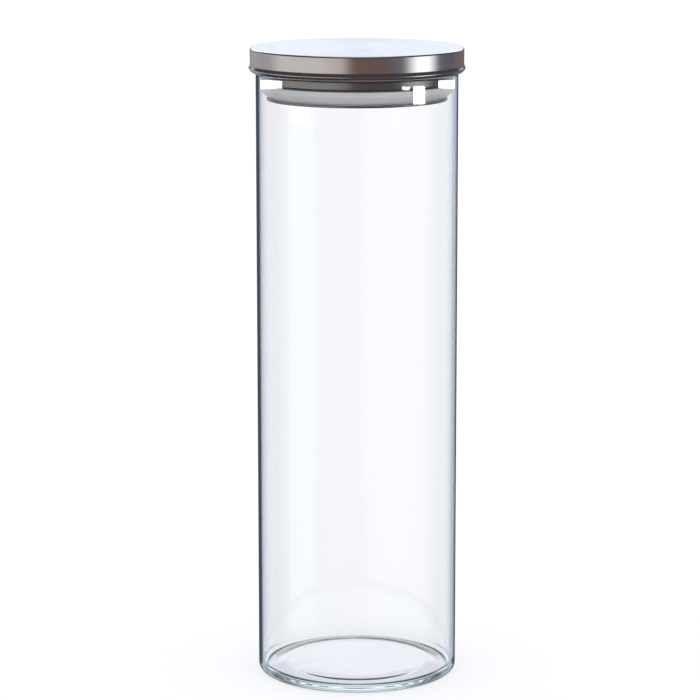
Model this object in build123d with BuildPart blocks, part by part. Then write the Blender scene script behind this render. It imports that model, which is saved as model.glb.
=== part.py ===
from build123d import *
import math
import os

# A tall glass storage jar with a lid of steel pressings that plugs its mouth.
# The origin is the centre of the base and +Z runs up the jar. Lengths are in millimetres.

os.makedirs("parts", exist_ok=True)

# Jar: a straight cylinder of blown glass
jar_diameter = 100.0
jar_height = 303.5
wall = 2.2
base_thickness = 2.8
base_corner = 3.0
inner_corner = 4.0
rim_flat = 0.3
foot_width = 4.5
punt_rise = 1.2
punt_slope = 6.0
punt_round = 18.0

# Cap: the outer pressing of the lid
cap_height = 12.5
cap_overhang = 2.85
cap_sheet = 0.6
cap_bend = 0.4
flare_width = 0.8
flare_height = 1.6
flare_round = 2.0
bead_height = 2.6
bead_bend = 0.15
bead_foot_width = 1.95
bead_foot_rise = 0.9
bead_round = 4.0

# Pan: the inner pressing, whose neck plugs the mouth
pan_sheet = 0.5
pan_bend = 0.6
neck_depth = 5.1
seat_step = 4.9

# Base plate of the plug, with its edge folded back on itself
plate_sheet = 0.5
plate_hem = 0.6
plate_round = 0.4

# Seal ring: a root that grips the pan and a lip that rises to stand against the glass
seal_height = 7.1
root_width = 1.5
toe_width = 0.9
toe_height = 0.3
lip_width = 1.3
lip_contact = 2.5
lip_bulge = 0.5
lip_round = 0.5
valley_round = 0.4

# Clearances
rim_gap = 0.3
bead_gap = 0.4
neck_gap = 0.4
lip_gap = 0.25
lip_end_gap = 0.3
plate_gap = 3.0
edge_gap = 0.25
hem_gap = 0.25
seam_gap = 0.05

# Jar radii and the round of its rim
jar_radius = jar_diameter / 2
bore_radius = jar_radius - wall
foot_radius = jar_radius - base_corner - foot_width
punt_radius = foot_radius - punt_slope
rim_round = (wall - rim_flat) / 2

# Lid heights, from the glass rim that the lid rests on
flange_z = jar_height + rim_gap
cap_top = jar_height + cap_height
bead_z = flange_z - cap_sheet
flare_z = bead_z + bead_height
neck_z = flange_z - neck_depth
plate_top = neck_z - seal_height
pan_bottom = plate_top - plate_hem
plate_bottom = pan_bottom - plate_sheet

# Lid radii
cap_radius = jar_radius + cap_overhang
flare_radius = cap_radius + flare_width
bead_radius = jar_radius + bead_gap
bead_bend_radius = bead_radius + bead_foot_width
bead_bend_z = bead_z + bead_foot_rise
neck_radius = bore_radius - neck_gap
seat_radius = neck_radius - seat_step
hem_radius = seat_radius + hem_gap
plate_radius = bore_radius - plate_gap

# The pan's turned-up edge lies on the straight foot of the cap's bead and ends where it bends
foot_angle = math.atan2(bead_foot_rise, bead_foot_width)
bead_angle = math.atan2(flare_z - bead_bend_z, flare_radius - bead_bend_radius)
bend_length = bead_round * math.tan((bead_angle - foot_angle) / 2)
edge_offset = cap_sheet + seam_gap
edge_start = bead_radius + cap_sheet / math.tan(foot_angle) - edge_offset / math.sin(foot_angle)
edge_radius = bead_bend_radius - bend_length - edge_gap
edge_z = flange_z + (edge_radius - edge_start) * math.tan(foot_angle)

# Seal ring radii and heights, from the pan that carries it and the glass that it meets
root_inner = seat_radius + seam_gap
root_outer = root_inner + root_width
toe_radius = root_inner + toe_width
toe_z = plate_top + toe_height
lip_outer = bore_radius - lip_gap
lip_inner = lip_outer - lip_width
lip_top = neck_z - lip_end_gap
lip_z = lip_top - lip_contact
lip_slope = (lip_z - toe_z) / (lip_outer - toe_radius)
valley_z = lip_z - (lip_inner - root_outer) * lip_slope


# Glass jar: fire-polished rim, rounded corners and a base pushed up inside a flat foot
with BuildPart() as glass_jar:
    with BuildSketch(Plane.XZ):
        with BuildLine():
            section = FilletPolyline(
                (0, punt_rise),
                (punt_radius, punt_rise),
                (foot_radius, 0),
                (jar_radius, 0),
                (jar_radius, jar_height),
                (bore_radius, jar_height),
                (bore_radius, base_thickness),
                (foot_radius, base_thickness),
                (punt_radius, base_thickness + punt_rise),
                (0, base_thickness + punt_rise),
                radius=(punt_round, punt_round, base_corner, rim_round,
                        rim_round, inner_corner, punt_round, punt_round),
            )
            Line(section @ 1, section @ 0)
        make_face()
    revolve(axis=Axis.Z)

glass_jar.part.label = "glass_jar"
export_step(glass_jar.part, "parts/glass_jar.step")


# Lid cap: drawn sheet, flared at the foot of its skirt, where the edge rolls in to a bead
with BuildPart() as lid_cap:
    with BuildSketch(Plane.XZ):
        with BuildLine():
            FilletPolyline(
                (0, cap_top),
                (cap_radius, cap_top),
                (cap_radius, flare_z + flare_height),
                (flare_radius, flare_z),
                (bead_bend_radius, bead_bend_z),
                (bead_radius, bead_z),
                radius=(cap_bend + cap_sheet, flare_round, bead_bend + cap_sheet, bead_round),
            )
            offset(amount=cap_sheet, side=Side.RIGHT)
        make_face()
    revolve(axis=Axis.Z)

lid_cap.part.label = "lid_cap"
export_step(lid_cap.part, "parts/lid_cap.step")


# Lid pan: its edge is held in the cap's bead, its flange lies over the glass rim,
# its neck fills the mouth and the narrower seat below carries the seal ring
pan_round = pan_bend + pan_sheet

with BuildPart() as lid_pan:
    with BuildSketch(Plane.XZ):
        with BuildLine():
            FilletPolyline(
                (edge_radius, edge_z),
                (edge_start, flange_z),
                (neck_radius, flange_z),
                (neck_radius, neck_z),
                (seat_radius, neck_z),
                (seat_radius, pan_bottom),
                (0, pan_bottom),
                radius=(pan_round, pan_bend, pan_round, pan_bend, pan_round),
            )
            offset(amount=pan_sheet, side=Side.RIGHT)
        make_face()
    revolve(axis=Axis.Z)

lid_pan.part.label = "lid_pan"
export_step(lid_pan.part, "parts/lid_pan.step")


# Plug plate: closes the plug from below, and its folded edge keeps the seal ring on
with BuildPart() as plug_plate:
    with BuildSketch(Plane.XZ):
        with BuildLine():
            section = FilletPolyline(
                (0, plate_bottom),
                (plate_radius, plate_bottom),
                (plate_radius, plate_top),
                (hem_radius, plate_top),
                (hem_radius, pan_bottom),
                (0, pan_bottom),
                radius=(plate_round, plate_round, 0, 0),
            )
            Line(section @ 1, section @ 0)
        make_face()
    revolve(axis=Axis.Z)

plug_plate.part.label = "plug_plate"
export_step(plug_plate.part, "parts/plug_plate.step")


# Seal ring: silicone, its top corner rounded to clear the bend of the pan above it
root_round = pan_bend + seam_gap

with BuildPart() as seal_ring:
    with BuildSketch(Plane.XZ):
        with BuildLine():
            SagittaArc((lip_outer, lip_z), (toe_radius, toe_z), lip_bulge)
            FilletPolyline(
                (lip_outer, lip_z),
                (lip_outer, lip_top),
                (lip_inner, lip_top),
                (lip_inner, lip_z),
                (root_outer, valley_z),
                (root_outer, neck_z),
                (root_inner, neck_z),
                (root_inner, plate_top),
                (toe_radius, plate_top),
                (toe_radius, toe_z),
                radius=(lip_round, lip_round, lip_round, valley_round, 0, root_round, 0, 0),
            )
        make_face()
    revolve(axis=Axis.Z)

seal_ring.part.label = "seal_ring"
export_step(seal_ring.part, "parts/seal_ring.step")
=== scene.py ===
import math

import bpy
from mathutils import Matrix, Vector


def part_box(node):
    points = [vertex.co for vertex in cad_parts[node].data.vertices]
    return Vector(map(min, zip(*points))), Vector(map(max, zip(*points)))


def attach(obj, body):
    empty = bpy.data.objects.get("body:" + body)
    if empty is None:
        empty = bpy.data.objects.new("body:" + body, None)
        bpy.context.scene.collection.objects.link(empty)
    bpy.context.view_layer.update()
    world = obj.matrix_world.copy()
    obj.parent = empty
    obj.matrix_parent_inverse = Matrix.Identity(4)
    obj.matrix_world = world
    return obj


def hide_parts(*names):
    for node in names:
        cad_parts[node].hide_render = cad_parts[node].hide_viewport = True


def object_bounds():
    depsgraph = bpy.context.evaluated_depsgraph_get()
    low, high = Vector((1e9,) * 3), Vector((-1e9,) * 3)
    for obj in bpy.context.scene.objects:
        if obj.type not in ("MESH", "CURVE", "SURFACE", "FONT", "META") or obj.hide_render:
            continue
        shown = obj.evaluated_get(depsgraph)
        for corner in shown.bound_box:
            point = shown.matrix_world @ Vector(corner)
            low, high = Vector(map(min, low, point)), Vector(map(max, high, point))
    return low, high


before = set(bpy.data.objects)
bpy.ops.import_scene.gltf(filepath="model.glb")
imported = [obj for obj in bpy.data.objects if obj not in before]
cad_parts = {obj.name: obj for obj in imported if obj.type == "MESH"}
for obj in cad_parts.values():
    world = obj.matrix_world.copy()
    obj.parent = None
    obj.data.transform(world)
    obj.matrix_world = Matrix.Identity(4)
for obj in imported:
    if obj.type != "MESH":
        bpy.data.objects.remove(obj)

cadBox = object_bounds()
scene = bpy.context.scene
mm = 0.001


def unitStep(a, b):
    length = math.hypot(b[0] - a[0], b[1] - a[1])
    return (b[0] - a[0]) / length, (b[1] - a[1]) / length


def cornerArc(before, corner, after, radius, arcStep):
    # points and headings along the round between two straight runs
    inX, inY = unitStep(before, corner)
    outX, outY = unitStep(corner, after)
    turn = math.atan2(inX * outY - inY * outX, inX * outX + inY * outY)
    reach = radius * math.tan(abs(turn) / 2)
    side = 1 if turn > 0 else -1
    start = (corner[0] - inX * reach, corner[1] - inY * reach)
    centre = (start[0] - inY * radius * side, start[1] + inX * radius * side)
    count = max(3, math.ceil(abs(math.degrees(turn)) / arcStep))
    arc = []
    for k in range(count + 1):
        angle = turn * k / count
        dirX = inX * math.cos(angle) - inY * math.sin(angle)
        dirY = inX * math.sin(angle) + inY * math.cos(angle)
        point = (centre[0] + dirY * radius * side, centre[1] - dirX * radius * side)
        arc.append((point, (dirX, dirY)))
    return arc


def roundedOutline(points, radii, arcStep, longest):
    # closed outline as short steps: start point, start heading, end point, end heading
    shortest = 1e-6  # mm, anything less is no step at all
    total = len(points)
    corners = []
    for i, corner in enumerate(points):
        before, after = points[i - 1], points[(i + 1) % total]
        if radii[i] > 0:
            corners.append(cornerArc(before, corner, after, radii[i], arcStep))
        else:
            corners.append([(corner, unitStep(before, corner)), (corner, unitStep(corner, after))])
    steps = []
    for i, arc in enumerate(corners):
        for (pointA, headA), (pointB, headB) in zip(arc, arc[1:]):
            if math.dist(pointA, pointB) > shortest:
                steps.append((pointA, headA, pointB, headB))
        pointA = arc[-1][0]
        pointB = corners[(i + 1) % total][0][0]
        run = math.dist(pointA, pointB)
        if run < shortest:
            continue
        head = unitStep(pointA, pointB)
        count = max(1, math.ceil(run / longest))
        for k in range(count):
            a = tuple(pointA[n] + (pointB[n] - pointA[n]) * k / count for n in (0, 1))
            b = tuple(pointA[n] + (pointB[n] - pointA[n]) * (k + 1) / count for n in (0, 1))
            steps.append((a, head, b, head))
    return steps


def sheetOutline(path, radii, sheet, edgeRound):
    # closes an open path into sheet metal, which lies to the right of the path
    inner = []
    innerRadii = []
    for i, corner in enumerate(path):
        headIn = unitStep(path[i - 1], corner) if i else None
        headOut = unitStep(corner, path[i + 1]) if i + 1 < len(path) else None
        if headIn and headOut:
            turn = headIn[0] * headOut[1] - headIn[1] * headOut[0]
            lean = 1 + headIn[0] * headOut[0] + headIn[1] * headOut[1]
            shiftX = (headIn[1] + headOut[1]) * sheet / lean
            shiftY = -(headIn[0] + headOut[0]) * sheet / lean
            inner.append((corner[0] + shiftX, corner[1] + shiftY))
            innerRadii.append(radii[i - 1] + (sheet if turn > 0 else -sheet))
        else:
            head = headIn or headOut
            inner.append((corner[0] + head[1] * sheet, corner[1] - head[0] * sheet))
            innerRadii.append(0 if i == 0 else edgeRound)
    outerRadii = [0] + list(radii) + [edgeRound]
    return path + inner[::-1], outerRadii + innerRadii[::-1]


def signedArea(points):
    area = 0
    for a, b in zip(points, points[1:] + points[:1]):
        area += a[0] * b[1] - a[1] * b[0]
    return area / 2


def turnedPiece(name, points, radii, segments, arcStep, longest):
    # spins a closed outline of radius and height, in mm, about the upright axis, with exact normals
    onAxis = 1e-5  # mm, closer than this is a single point on the axis
    steps = roundedOutline(points, radii, arcStep, longest)
    side = 1 if signedArea(points) > 0 else -1
    angles = [2 * math.pi * k / segments for k in range(segments)]
    circle = [(math.cos(angle), math.sin(angle)) for angle in angles]
    rings = {}
    verts = []
    faces = []
    normals = []

    def ringAt(point):
        key = (round(point[0], 5), round(point[1], 5))
        if key not in rings:
            first = len(verts)
            if point[0] < onAxis:
                verts.append((0, 0, point[1] * mm))
                rings[key] = [first] * segments
            else:
                verts.extend((c * point[0] * mm, s * point[0] * mm, point[1] * mm) for c, s in circle)
                rings[key] = list(range(first, first + segments))
        return rings[key]

    def normalAt(head, k):
        out, up = head[1] * side, -head[0] * side
        c, s = circle[k]
        return (out * c, out * s, up)

    for pointA, headA, pointB, headB in steps:
        tipA, tipB = pointA[0] < onAxis, pointB[0] < onAxis
        if tipA and tipB:
            continue
        ringA, ringB = ringAt(pointA), ringAt(pointB)
        for k in range(segments):
            n = (k + 1) % segments
            corners = [(ringA[k], headA, k), (ringA[n], headA, n), (ringB[n], headB, n), (ringB[k], headB, k)]
            if tipA:
                corners.pop(1)
            elif tipB:
                corners.pop(2)
            if side < 0:
                corners.reverse()
            faces.append([vert for vert, head, spot in corners])
            normals.extend(normalAt(head, spot) for vert, head, spot in corners)
    mesh = bpy.data.meshes.new(name)
    mesh.from_pydata(verts, [], faces)
    mesh.polygons.foreach_set("use_smooth", [True] * len(mesh.polygons))
    mesh.normals_split_custom_set(normals)
    mesh.update()
    piece = bpy.data.objects.new(name, mesh)
    scene.collection.objects.link(piece)
    return piece


class nodeDesk:
    # adds nodes to one tree and joins them up
    def __init__(self, tree):
        self.tree = tree
        self.tree.nodes.clear()

    def add(self, kind, inputs=None, **settings):
        node = self.tree.nodes.new(kind)
        for key, value in settings.items():
            setattr(node, key, value)
        for key, value in (inputs or {}).items():
            self.feed(value, node.inputs[key])
        return node

    def feed(self, value, socket):
        if isinstance(value, bpy.types.NodeSocket):
            self.tree.links.new(value, socket)
        else:
            socket.default_value = value

    def sums(self, operation, a, b=0.0, c=0.0, clamp=False):
        node = self.add("ShaderNodeMath", {0: a, 1: b, 2: c}, operation=operation, use_clamp=clamp)
        return node.outputs[0]

    def product(self, first, *others):
        for other in others:
            first = self.sums("MULTIPLY", first, other)
        return first

    def noise(self, vector, scale, detail=2.0, rough=0.5, warp=0.0):
        inputs = {"Vector": vector, "Scale": scale, "Detail": detail, "Roughness": rough, "Distortion": warp}
        return self.add("ShaderNodeTexNoise", inputs).outputs[0]

    def stretch(self, value, low, high, newLow=0.0, newHigh=1.0, **settings):
        inputs = {"Value": value, "From Min": low, "From Max": high, "To Min": newLow, "To Max": newHigh}
        return self.add("ShaderNodeMapRange", inputs, **settings).outputs[0]

    def soft(self, value, low, high):
        return self.stretch(value, low, high, interpolation_type="SMOOTHSTEP")

    def between(self, value, low, high, edge):
        return self.product(self.soft(value, low, low + edge), self.soft(value, high, high - edge))

    def blend(self, amount, a, b, mode="MIX"):
        node = self.add("ShaderNodeMix", data_type="RGBA", blend_type=mode)
        self.feed(amount, node.inputs[0])
        self.feed(a, node.inputs[6])
        self.feed(b, node.inputs[7])
        return node.outputs[2]

    def mixValue(self, amount, a, b):
        node = self.add("ShaderNodeMix", data_type="FLOAT")
        self.feed(amount, node.inputs[0])
        self.feed(a, node.inputs[2])
        self.feed(b, node.inputs[3])
        return node.outputs[0]

    def bump(self, height, strength, distance, normal=None):
        inputs = {"Height": height, "Strength": strength, "Distance": distance}
        if normal is not None:
            inputs["Normal"] = normal
        return self.add("ShaderNodeBump", inputs).outputs[0]

    def place(self):
        # where a point is on the piece: whole vector, distance from the axis, height, flat direction
        spot = self.add("ShaderNodeTexCoord").outputs["Object"]
        parts = self.add("ShaderNodeSeparateXYZ", {0: spot}).outputs
        flat = self.add("ShaderNodeCombineXYZ", {0: parts[0], 1: parts[1]}).outputs[0]
        radius = self.add("ShaderNodeVectorMath", {0: flat}, operation="LENGTH").outputs["Value"]
        heading = self.add("ShaderNodeVectorMath", {0: flat}, operation="NORMALIZE").outputs[0]
        return spot, radius, parts[2], heading

    def turningLines(self, around, across):
        # noise coordinates that run round the axis, with no seam
        spot, radius, height, heading = self.place()
        ring = self.add("ShaderNodeVectorMath", {0: heading, "Scale": around}, operation="SCALE").outputs[0]
        parts = self.add("ShaderNodeSeparateXYZ", {0: ring}).outputs
        crossing = self.product(self.sums("ADD", radius, height), across)
        return self.add("ShaderNodeCombineXYZ", {0: parts[0], 1: parts[1], 2: crossing}).outputs[0]


def newMaterial(name):
    material = bpy.data.materials.new(name)
    material.use_nodes = True
    desk = nodeDesk(material.node_tree)
    out = desk.add("ShaderNodeOutputMaterial")
    shader = desk.add("ShaderNodeBsdfPrincipled")
    desk.feed(shader.outputs[0], out.inputs["Surface"])
    return material, desk, shader, out


# what stands round the object by heading, in degrees from the viewer, positive to the right
softCards = [
    {"start": -180, "end": -160, "colour": (0.40, 0.35, 0.37)},
    {"start": -150, "end": -107, "colour": (0.50, 0.48, 0.49)},
    {"start": -90, "end": -38, "colour": (0.86, 0.81, 0.78)},
    {"start": -27, "end": -17, "colour": (0.76, 0.68, 0.65)},
    {"start": -5, "end": 34, "colour": (0.19, 0.125, 0.105)},
    {"start": 38, "end": 52, "colour": (0.16, 0.15, 0.18)},
    {"start": 68, "end": 82, "colour": (1.9, 1.95, 1.95)},
    {"start": 97, "end": 124, "colour": (0.14, 0.14, 0.18)},
    {"start": 132, "end": 180, "colour": (0.22, 0.17, 0.17)},
]

# small bright windows that only the glass mirrors, by heading and by height above the horizon
brightWindows = [
    {"start": -142.0, "end": -93.5, "low": -5.88, "top": -5.69, "strength": 34.0},
    {"start": -142.0, "end": -93.5, "low": -5.58, "top": -5.50, "strength": 34.0},
    {"start": 51.5, "end": 62.5, "low": -5.91, "top": -5.81, "strength": 40.0},
    {"start": 51.5, "end": 62.5, "low": -5.66, "top": -5.56, "strength": 40.0},
    {"start": 66.0, "end": 83.5, "low": -6.18, "top": -5.80, "strength": 40.0},
    {"start": 66.0, "end": 83.5, "low": -5.74, "top": -5.64, "strength": 40.0},
    {"start": 105.0, "end": 146.0, "low": -5.87, "top": -5.69, "strength": 30.0},
    {"start": 105.0, "end": 146.0, "low": -5.58, "top": -5.50, "strength": 30.0},
]

# the room above and below the cards, each limit as the start and end of a soft change, in degrees
roomLook = {
    "cardGain": 4.0,  # the colour ramp holds values up to 1
    "backdrop": (1.32, 1.32, 1.32, 1),
    "fill": (1.3, 1.312, 1.341, 1),
    "above": (0.075, 0.07, 0.085, 1), "aboveFrom": (1.0, 8.0),
    "overhead": (1.78, 1.94, 2.25, 1), "overheadFront": 60.0, "overheadDrop": 56.0, "overheadSoft": 9.0,
    "rearFrom": (122.0, 150.0),
    "zenith": (0.66, 0.70, 0.76, 1), "zenithFrom": (24.0, 62.0),
    "below": (0.06, 0.042, 0.036, 1), "belowFrom": (-20.0, -32.0),
}

# what the glass alone mirrors and gathers
glassRoom = {
    "windowSide": 1.0, "windowEdge": 0.05,
    "sheen": (0.55, 0.57, 0.60, 1),
    "sideSheen": (1.45, 1.70, 1.95, 1), "sideFrom": (104.0, 128.0),
    "rim": (0.07, 0.09, 0.12, 1), "rimFrom": (143.0, 152.0),
    "edge": (0.045, 0.055, 0.072, 1),
    "edgeRight": (0.50, 0.56, 0.64, 1), "rightFrom": 149.0, "rightTo": 168.0, "rightSoft": 4.0,
    "corner": (0.06, 0.08, 0.085, 1),
    "under": (0.80, 0.85, 0.90, 1), "underHeading": (140.0, 158.0), "underFrom": (-20.0, -26.0),
    "lift": (1.25, 1.28, 1.31, 1), "liftHeading": (148.0, 162.0), "liftFrom": (0.0, 6.0),
    "floorFar": (1.25, 1.30, 1.40, 1), "floorFrom": (2.0, 6.0),
    "floorNear": (0.78, 0.83, 0.95, 1), "nearFrom": (16.98, 17.08),
    "deep": (0.85, 0.88, 0.93, 1), "deepFrom": (-6.45, -6.55),
}


def cardRamp(desk, turn):
    gain = roomLook["cardGain"]
    ramp = desk.add("ShaderNodeValToRGB", {0: turn})
    stops = []
    for card in softCards:
        stops.append((card["start"] / 360 + 0.5, card["colour"]))
        stops.append((card["end"] / 360 + 0.5, card["colour"]))
    elements = ramp.color_ramp.elements
    while len(elements) < len(stops):
        elements.new(0.5)
    for k, (place, colour) in enumerate(stops):
        elements[k].position = place  # all in place before any is coloured
    for k, (place, colour) in enumerate(stops):
        elements[k].position = place
        elements[k].color = [c / gain for c in colour] + [1]
    return desk.blend(1.0, ramp.outputs[0], (gain, gain, gain, 1), "MULTIPLY")


def roomAround(desk, turn, sideways, elevation):
    look = roomLook
    cards = desk.blend(desk.soft(elevation, *look["aboveFrom"]), cardRamp(desk, turn), look["above"])
    rear = desk.soft(sideways, *look["rearFrom"])
    lowEdge = desk.sums("SUBTRACT", look["overheadFront"], desk.product(rear, look["overheadDrop"]))
    upper = desk.soft(elevation, lowEdge, desk.sums("ADD", lowEdge, look["overheadSoft"]))
    sky = desk.blend(desk.soft(elevation, *look["zenithFrom"]), look["overhead"], look["zenith"])
    room = desk.blend(upper, cards, sky)
    return desk.blend(desk.soft(elevation, *look["belowFrom"]), room, look["below"])


def outerSheen(desk, degrees, sideways, elevation):
    # what the outer face of the glass mirrors
    look = glassRoom
    glow = 0.0
    for pane in brightWindows:
        wide = desk.between(degrees, pane["start"], pane["end"], look["windowSide"])
        tall = desk.between(elevation, pane["low"], pane["top"], look["windowEdge"])
        glow = desk.sums("ADD", glow, desk.product(wide, tall, pane["strength"]))
    sides = desk.blend(desk.soft(sideways, *look["sideFrom"]), look["sheen"], look["sideSheen"])
    sides = desk.blend(desk.soft(sideways, *look["rimFrom"]), sides, look["rim"])
    glowColour = desk.add("ShaderNodeCombineXYZ", {0: glow, 1: glow, 2: glow}).outputs[0]
    return desk.blend(1.0, sides, glowColour, "ADD")


def caughtInWall(desk, degrees, sideways, elevation):
    # what light caught inside the wall leaves towards
    look = glassRoom
    right = desk.between(degrees, look["rightFrom"], look["rightTo"], look["rightSoft"])
    edge = desk.blend(right, look["edge"], look["edgeRight"])
    under = desk.blend(desk.soft(sideways, *look["underHeading"]), look["corner"], look["under"])
    edge = desk.blend(desk.soft(elevation, *look["underFrom"]), edge, under)
    lift = desk.blend(desk.soft(sideways, *look["liftHeading"]), look["corner"], look["lift"])
    return desk.blend(desk.soft(elevation, *look["liftFrom"]), edge, lift)


def buildWorld():
    look = glassRoom
    world = bpy.data.worlds.new("softStudio")
    scene.world = world
    world.use_nodes = True
    world.cycles.sampling_method = "NONE"
    desk = nodeDesk(world.node_tree)
    out = desk.add("ShaderNodeOutputWorld")
    background = desk.add("ShaderNodeBackground")
    desk.feed(background.outputs[0], out.inputs["Surface"])
    heading = desk.add("ShaderNodeTexCoord").outputs["Generated"]
    parts = desk.add("ShaderNodeSeparateXYZ", {0: heading}).outputs
    azimuth = desk.sums("ARCTAN2", parts[0], desk.product(parts[1], -1.0))
    turn = desk.sums("MULTIPLY_ADD", azimuth, 0.5 / math.pi, 0.5)
    degrees = desk.product(azimuth, math.degrees(1))
    sideways = desk.sums("ABSOLUTE", degrees)
    elevation = desk.product(desk.sums("ARCSINE", parts[2]), math.degrees(1))

    # rays that have met different surfaces see different parts of the studio
    path = desk.add("ShaderNodeLightPath").outputs
    surfaces = path["Transmission Depth"]  # how many glass faces the ray has gone through
    reflected = desk.sums("GREATER_THAN", path["Glossy Depth"], 0.5)
    onGlass = desk.product(path["Is Singular Ray"], desk.sums("LESS_THAN", surfaces, 0.5))
    enteredWall = desk.sums("GREATER_THAN", surfaces, 0.5)
    inWall = desk.product(enteredWall, desk.sums("LESS_THAN", surfaces, 3.5))
    inJar = desk.product(desk.sums("GREATER_THAN", surfaces, 3.5), path["Is Singular Ray"])

    room = roomAround(desk, turn, sideways, elevation)
    lowInJar = desk.product(inJar, desk.soft(elevation, *look["deepFrom"]))
    room = desk.blend(lowInJar, room, look["deep"], "DARKEN")
    farFloor = desk.blend(desk.soft(elevation, *look["nearFrom"]), look["floorFar"], look["floorNear"])
    highInJar = desk.product(inJar, desk.soft(elevation, *look["floorFrom"]))

    mirrored = desk.blend(onGlass, room, outerSheen(desk, degrees, sideways, elevation))
    mirrored = desk.blend(highInJar, mirrored, farFloor)
    mirrored = desk.blend(inWall, mirrored, caughtInWall(desk, degrees, sideways, elevation))
    openAir = desk.blend(path["Is Diffuse Ray"], roomLook["backdrop"], roomLook["fill"])
    desk.feed(desk.blend(reflected, openAir, mirrored), background.inputs["Color"])
    background.inputs["Strength"].default_value = 1.0


floorLook = {
    "size": 12.0, "gap": 0.00005,
    "tone": (0.288, 0.291, 0.296, 1), "dip": 0.995, "cloudScale": 30.0, "cloudDetail": 3.0,
    "glow": (0.665, 0.672, 0.685, 1),
}


def buildFloor():
    look = floorLook
    half = look["size"] / 2
    mesh = bpy.data.meshes.new("studioFloor")
    corners = [(-half, -half, 0), (half, -half, 0), (half, half, 0), (-half, half, 0)]
    mesh.from_pydata(corners, [], [(0, 1, 2, 3)])
    floor = bpy.data.objects.new("studioFloor", mesh)
    scene.collection.objects.link(floor)
    floor.location.z = cadBox[0].z - look["gap"]
    material, desk, shader, out = newMaterial("paleFloor")
    desk.tree.nodes.remove(shader)
    spot = desk.add("ShaderNodeTexCoord").outputs["Object"]
    clouds = desk.stretch(desk.noise(spot, look["cloudScale"], look["cloudDetail"]), 0.3, 0.7)
    dipped = tuple(c * look["dip"] for c in look["tone"][:3]) + (1,)
    diffuse = desk.add("ShaderNodeBsdfDiffuse", {"Color": desk.blend(clouds, dipped, look["tone"])})
    glow = desk.add("ShaderNodeEmission", {"Color": look["glow"], "Strength": 1.0})
    lit = desk.add("ShaderNodeAddShader", {0: diffuse.outputs[0], 1: glow.outputs[0]})
    clear = desk.add("ShaderNodeBsdfTransparent")
    path = desk.add("ShaderNodeLightPath").outputs
    mirrored = desk.sums("GREATER_THAN", path["Glossy Depth"], 0.5)  # steel and glass mirror the room instead
    mixed = desk.add("ShaderNodeMixShader", {0: mirrored, 1: lit.outputs[0], 2: clear.outputs[0]})
    desk.feed(mixed.outputs[0], out.inputs["Surface"])
    mesh.materials.append(material)


viewer = {
    "place": (0.0, -1.476, 0.447), "aim": (0.0, 0.0, 0.1641),
    "lens": 154.1, "sensor": 36.0, "sideShift": -0.010,
}


def buildCamera():
    data = bpy.data.cameras.new("viewer")
    data.lens = viewer["lens"]
    data.sensor_width = viewer["sensor"]
    data.shift_x = viewer["sideShift"]
    camera = bpy.data.objects.new("viewer", data)
    camera.location = viewer["place"]
    line = Vector(viewer["aim"]) - Vector(viewer["place"])
    camera.rotation_euler = line.to_track_quat("-Z", "Y").to_euler()
    scene.collection.objects.link(camera)
    scene.camera = camera


scene.view_settings.view_transform = "Standard"
scene.cycles.max_bounces = 32  # light crosses up to eight glass faces and can be caught inside the wall
scene.cycles.glossy_bounces = 20
scene.cycles.transmission_bounces = 24
scene.cycles.sample_clamp_indirect = 0
buildWorld()
buildFloor()
buildCamera()
print("stage, light and camera are in place")


jarSizes = {
    "wall": 2.2, "baseThickness": 2.8, "baseCorner": 3.0, "innerCorner": 4.0, "rimRound": 0.95,
    "footWidth": 4.5, "puntRise": 1.2, "puntSlope": 6.0, "puntRound": 18.0,
    "segments": 384, "arcStep": 7.5, "longest": 9.0,
}

glassLook = {
    "index": 1.47, "tint": (0.35, 0.68, 0.86, 1), "tintDepth": 4.0,
    "streakScale": (26.0, 26.0, 1.6), "streakDetail": 3.0, "streakRough": 0.45,
    "streakStrength": 0.018, "streakDepth": 0.0004,
    "swirlScale": 30.0, "swirlDetail": 1.0, "swirlRough": 0.4, "swirlWarp": 1.2,
    "rippleHigh": 0.012, "rippleLow": 0.003, "rippleWide": 0.037, "rippleNarrow": 0.030,
    "rippleStrength": 0.035, "rippleDepth": 0.0006,
}


def glassMaterial():
    look = glassLook
    material, desk, shader, out = newMaterial("clearGlass")
    spot, radius, height, heading = desk.place()
    drawn = desk.add("ShaderNodeMapping", {"Vector": spot, "Scale": look["streakScale"]}).outputs[0]
    streaks = desk.noise(drawn, 1.0, look["streakDetail"], look["streakRough"])
    wall = desk.bump(streaks, look["streakStrength"], look["streakDepth"])
    swirl = desk.noise(spot, look["swirlScale"], look["swirlDetail"], look["swirlRough"], look["swirlWarp"])
    nearBase = desk.stretch(height, look["rippleHigh"], look["rippleLow"])
    inPunt = desk.product(nearBase, desk.stretch(radius, look["rippleWide"], look["rippleNarrow"]))
    ripple = desk.bump(desk.product(swirl, inPunt), look["rippleStrength"], look["rippleDepth"], wall)
    desk.feed(ripple, shader.inputs["Normal"])
    shader.inputs["Base Color"].default_value = (1, 1, 1, 1)
    shader.inputs["Roughness"].default_value = 0.0
    shader.inputs["IOR"].default_value = look["index"]
    shader.inputs["Transmission Weight"].default_value = 1.0
    tint = desk.add("ShaderNodeVolumeAbsorption")
    tint.inputs["Color"].default_value = look["tint"]
    tint.inputs["Density"].default_value = look["tintDepth"]
    desk.feed(tint.outputs[0], out.inputs["Volume"])
    return material


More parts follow.
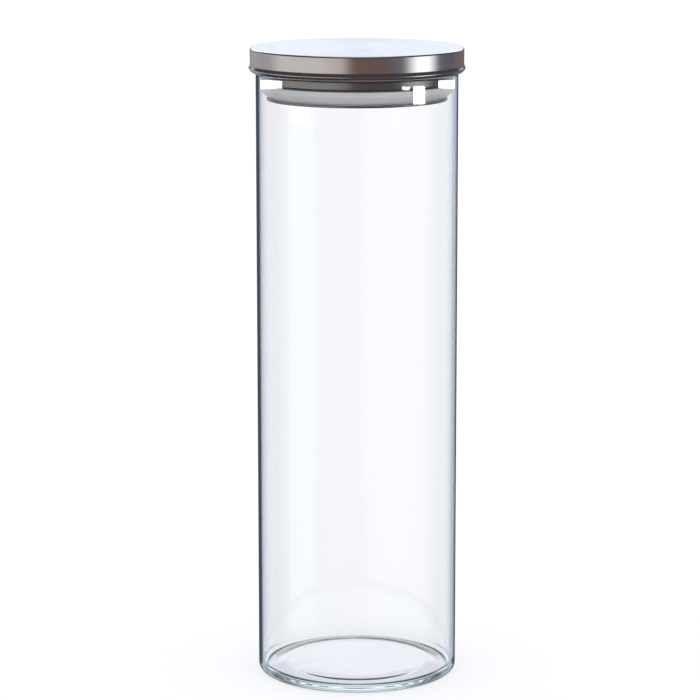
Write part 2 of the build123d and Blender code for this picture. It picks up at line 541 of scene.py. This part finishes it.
def buildJar():
    s = jarSizes
    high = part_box("glass_jar")[1]
    radius, height = high.x / mm, high.z / mm
    bore = radius - s["wall"]
    foot = radius - s["baseCorner"] - s["footWidth"]
    punt = foot - s["puntSlope"]
    inside = s["baseThickness"]
    points = [
        (0, s["puntRise"]), (punt, s["puntRise"]), (foot, 0), (radius, 0), (radius, height), (bore, height),
        (bore, inside), (foot, inside), (punt, inside + s["puntRise"]), (0, inside + s["puntRise"]),
    ]
    radii = [
        0, s["puntRound"], s["puntRound"], s["baseCorner"], s["rimRound"], s["rimRound"],
        s["innerCorner"], s["puntRound"], s["puntRound"], 0,
    ]
    jar = turnedPiece("jarGlass", points, radii, s["segments"], s["arcStep"], s["longest"])
    jar.data.materials.append(glassMaterial())
    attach(jar, "jar")
    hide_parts("glass_jar")


buildJar()
print("glass jar is turned")


steelLook = {
    "capColour": (0.66, 0.645, 0.64, 1), "capDarker": (0.50, 0.485, 0.48, 1),
    # the plug steel is far darker than the cap's steel: painted shade for the recess under the cap, not the
    # steel's own colour
    "plugColourPaintedShade": (0.285, 0.275, 0.265, 1), "plugDarkerPaintedShade": (0.24, 0.23, 0.222, 1),
    "topRoughness": 0.30, "skirtRoughness": 0.16, "plugRoughness": 0.20,
    "topMetal": 0.74, "topFade": (0.00022, 0.00004), "anisotropy": 0.55,
    "fineAround": 1.4, "fineAcross": 5200.0, "broadAround": 0.7, "broadAcross": 900.0,
    "cloudScale": 42.0, "smudgeScale": 11.0,
    "sideContrast": 1.1, "topContrast": 1.9, "meanTone": 0.55,
    "smudgeRough": 0.08, "broadRough": 0.08, "cloudRough": 0.05, "meanWear": 0.105,
    "sideBump": 0.06, "topBump": 0.22, "bumpDepth": 0.00006,
}


def steelMaterial(name, bright, dull, topRoughness, sideRoughness, topMetal, topHeight):
    # brushed round the axis, coarser and softer on a flat top at topHeight
    look = steelLook
    material, desk, shader, out = newMaterial(name)
    spot, radius, height, heading = desk.place()
    fine = desk.noise(desk.turningLines(look["fineAround"], look["fineAcross"]), 1.0, 3.0, 0.6)
    broad = desk.noise(desk.turningLines(look["broadAround"], look["broadAcross"]), 1.0, 2.0, 0.5)
    cloud = desk.noise(spot, look["cloudScale"], 4.0, 0.55)
    smudge = desk.noise(spot, look["smudgeScale"], 3.0, 0.6)
    fadeLow, fadeHigh = look["topFade"]
    onTop = desk.stretch(height, topHeight - fadeLow, topHeight - fadeHigh)
    tone = desk.sums("MULTIPLY_ADD", fine, 0.6, desk.product(broad, 0.4))
    contrast = desk.sums("MULTIPLY_ADD", onTop, look["topContrast"], look["sideContrast"])
    tone = desk.sums("MULTIPLY_ADD", desk.sums("SUBTRACT", tone, 0.5), contrast, look["meanTone"], clamp=True)
    desk.feed(desk.blend(tone, dull, bright), shader.inputs["Base Color"])
    wear = desk.sums("MULTIPLY_ADD", smudge, look["smudgeRough"], desk.product(broad, look["broadRough"]))
    wear = desk.sums("MULTIPLY_ADD", cloud, look["cloudRough"], wear)
    wear = desk.sums("SUBTRACT", wear, look["meanWear"])
    rough = desk.sums("ADD", desk.mixValue(onTop, sideRoughness, topRoughness), wear)
    desk.feed(rough, shader.inputs["Roughness"])
    shader.inputs["Metallic"].default_value = 1.0
    if topMetal < 1.0:
        desk.feed(desk.sums("MULTIPLY_ADD", onTop, topMetal - 1.0, 1.0), shader.inputs["Metallic"])
    strength = desk.sums("MULTIPLY_ADD", onTop, look["topBump"], look["sideBump"])
    lines = desk.sums("MULTIPLY_ADD", broad, 0.5, fine)
    desk.feed(desk.bump(lines, strength, look["bumpDepth"]), shader.inputs["Normal"])
    shader.inputs["Anisotropic"].default_value = look["anisotropy"]
    tangent = desk.add("ShaderNodeTangent", direction_type="RADIAL", axis="Z")
    desk.feed(tangent.outputs[0], shader.inputs["Tangent"])
    return material


capSizes = {
    "radius": 52.85, "bend": 1.0, "sheet": 0.6, "edgeRound": 0.18, "rimGap": 0.3,
    "flareRadius": 53.65, "flareFromBead": 2.6, "flareHeight": 1.6, "flareRound": 2.0,
    "beadRadius": 50.4, "beadWidth": 1.95, "beadRise": 0.9, "beadBend": 0.75, "beadRound": 4.0,
    "segments": 384, "arcStep": 6.0, "longest": 5.0,
}


def buildCap():
    s = capSizes
    look = steelLook
    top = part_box("lid_cap")[1].z / mm
    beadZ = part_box("glass_jar")[1].z / mm + s["rimGap"] - s["sheet"]
    flareZ = beadZ + s["flareFromBead"]
    path = [
        (0, top), (s["radius"], top), (s["radius"], flareZ + s["flareHeight"]), (s["flareRadius"], flareZ),
        (s["beadRadius"] + s["beadWidth"], beadZ + s["beadRise"]), (s["beadRadius"], beadZ),
    ]
    bends = [s["bend"], s["flareRound"], s["beadBend"], s["beadRound"]]
    points, radii = sheetOutline(path, bends, s["sheet"], s["edgeRound"])
    cap = turnedPiece("lidCap", points, radii, s["segments"], s["arcStep"], s["longest"])
    steel = steelMaterial("capSteel", look["capColour"], look["capDarker"], look["topRoughness"],
                          look["skirtRoughness"], look["topMetal"], top * mm)
    cap.data.materials.append(steel)
    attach(cap, "lid")
    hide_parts("lid_cap")


buildCap()
print("cap is turned and brushed")


plugSizes = {
    "neckRadius": 47.4, "seatRadius": 42.5, "panSheet": 0.5, "panRound": 1.1, "panBend": 0.6,
    "edgeStart": 50.149, "edgeInset": 0.12, "hemRadius": 42.75, "hemRound": 0.1, "plateRound": 0.4,
    "segments": 360, "arcStep": 9.0, "longest": 5.0,
}


def buildPlug():
    s = plugSizes
    look = steelLook
    low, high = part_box("lid_pan")
    panBottom = low.z / mm
    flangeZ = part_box("glass_jar")[1].z / mm + capSizes["rimGap"]
    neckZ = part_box("seal_ring")[1].z / mm
    footSlope = capSizes["beadRise"] / capSizes["beadWidth"]
    edgeRadius = high.x / mm - s["edgeInset"]
    edgeZ = flangeZ + (edgeRadius - s["edgeStart"]) * footSlope  # the edge lies along the bead's foot
    path = [
        (edgeRadius, edgeZ), (s["edgeStart"], flangeZ), (s["neckRadius"], flangeZ), (s["neckRadius"], neckZ),
        (s["seatRadius"], neckZ), (s["seatRadius"], panBottom), (0, panBottom),
    ]
    bends = [s["panRound"], s["panBend"], s["panRound"], s["panBend"], s["panRound"]]
    points, radii = sheetOutline(path, bends, s["panSheet"], 0)
    pan = turnedPiece("lidPan", points, radii, s["segments"], s["arcStep"], s["longest"])
    rough = look["plugRoughness"]
    # plug steel takes the darkened colours, painted shade standing in for the shadow in the recess under the
    # cap
    steel = steelMaterial("plugSteelPaintedShade", look["plugColourPaintedShade"], look["plugDarkerPaintedShade"], rough, rough, 1.0, 1.0)
    pan.data.materials.append(steel)
    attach(pan, "lid")
    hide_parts("lid_pan")

    plateLow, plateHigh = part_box("plug_plate")
    plateRadius, plateTop, plateBottom = plateHigh.x / mm, plateHigh.z / mm, plateLow.z / mm
    points = [
        (0, plateBottom), (plateRadius, plateBottom), (plateRadius, plateTop),
        (s["hemRadius"], plateTop), (s["hemRadius"], panBottom), (0, panBottom),
    ]
    radii = [0, s["plateRound"], s["plateRound"], s["hemRound"], s["hemRound"], 0]
    plate = turnedPiece("plugPlate", points, radii, s["segments"], s["arcStep"], s["longest"])
    plate.data.materials.append(steel)
    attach(plate, "lid")
    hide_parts("plug_plate")


buildPlug()
print("plug pan and plate are turned")


sealSizes = {
    "lipWidth": 1.3, "lipGap": 0.3, "lipContact": 2.5, "lipRound": 0.5,
    "rootInner": 42.55, "rootWidth": 1.5, "rootRound": 0.65, "valleyRound": 0.4,
    "toeWidth": 0.9, "toeHeight": 0.3, "toeRound": 0.15,
    "bulge": 0.5, "bulgeSteps": 8, "bulgeRound": 0.02,
    "segments": 360, "arcStep": 12.0, "longest": 2.0,
}

sealLook = {
    "colour": (0.90, 0.91, 0.92, 1), "darker": (0.82, 0.835, 0.845, 1),
    "roughness": 0.42, "roughSpread": 0.16,
    "cloudScale": 60.0, "grainScale": 2600.0, "ringAround": 3.0, "ringAcross": 1500.0, "ringShare": 0.6,
    "bumpStrength": 0.15, "bumpDepth": 0.00004,
    "throughLight": 0.25, "throughDepth": 0.0015, "index": 1.41,
}


def sealMaterial():
    look = sealLook
    material, desk, shader, out = newMaterial("siliconeSeal")
    spot, radius, height, heading = desk.place()
    cloud = desk.noise(spot, look["cloudScale"], 3.0, 0.5)
    grain = desk.noise(spot, look["grainScale"], 2.0, 0.5)
    rings = desk.noise(desk.turningLines(look["ringAround"], look["ringAcross"]), 1.0, 1.0, 0.5)
    desk.feed(desk.blend(cloud, look["darker"], look["colour"]), shader.inputs["Base Color"])
    smoothest = look["roughness"] - look["roughSpread"] / 2
    desk.feed(desk.sums("MULTIPLY_ADD", cloud, look["roughSpread"], smoothest), shader.inputs["Roughness"])
    texture = desk.sums("MULTIPLY_ADD", rings, look["ringShare"], grain)
    desk.feed(desk.bump(texture, look["bumpStrength"], look["bumpDepth"]), shader.inputs["Normal"])
    shader.inputs["Subsurface Weight"].default_value = look["throughLight"]
    shader.inputs["Subsurface Radius"].default_value = (1.0, 1.0, 1.0)
    shader.inputs["Subsurface Scale"].default_value = look["throughDepth"]
    shader.inputs["IOR"].default_value = look["index"]
    return material


def buildSeal():
    s = sealSizes
    low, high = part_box("seal_ring")
    bottom, neckZ = low.z / mm, high.z / mm
    lipOuter = high.x / mm
    lipInner = lipOuter - s["lipWidth"]
    lipTop = neckZ - s["lipGap"]
    lipZ = lipTop - s["lipContact"]
    rootOuter = s["rootInner"] + s["rootWidth"]
    toeRadius, toeZ = s["rootInner"] + s["toeWidth"], bottom + s["toeHeight"]
    chord = math.dist((toeRadius, toeZ), (lipOuter, lipZ))
    alongR, alongZ = (lipOuter - toeRadius) / chord, (lipZ - toeZ) / chord
    steps = s["bulgeSteps"]
    flank = []  # bows outward between the toe and the lip
    for k in range(steps + 1):
        share = k / steps
        swell = 4 * s["bulge"] * share * (1 - share)
        flank.append((toeRadius + alongR * chord * share + alongZ * swell,
                      toeZ + alongZ * chord * share - alongR * swell))
    valleyZ = lipZ - (lipInner - rootOuter) * alongZ / alongR
    points = flank + [
        (lipOuter, lipTop), (lipInner, lipTop), (lipInner, lipZ), (rootOuter, valleyZ), (rootOuter, neckZ),
        (s["rootInner"], neckZ), (s["rootInner"], bottom), (toeRadius, bottom),
    ]
    radii = [s["toeRound"]] + [s["bulgeRound"]] * (steps - 1) + [s["lipRound"]] * 4
    radii += [s["valleyRound"], 0, s["rootRound"], 0, 0]
    seal = turnedPiece("sealRing", points, radii, s["segments"], s["arcStep"], s["longest"])
    seal.data.materials.append(sealMaterial())
    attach(seal, "lid")
    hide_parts("seal_ring")


buildSeal()
print("seal is turned")
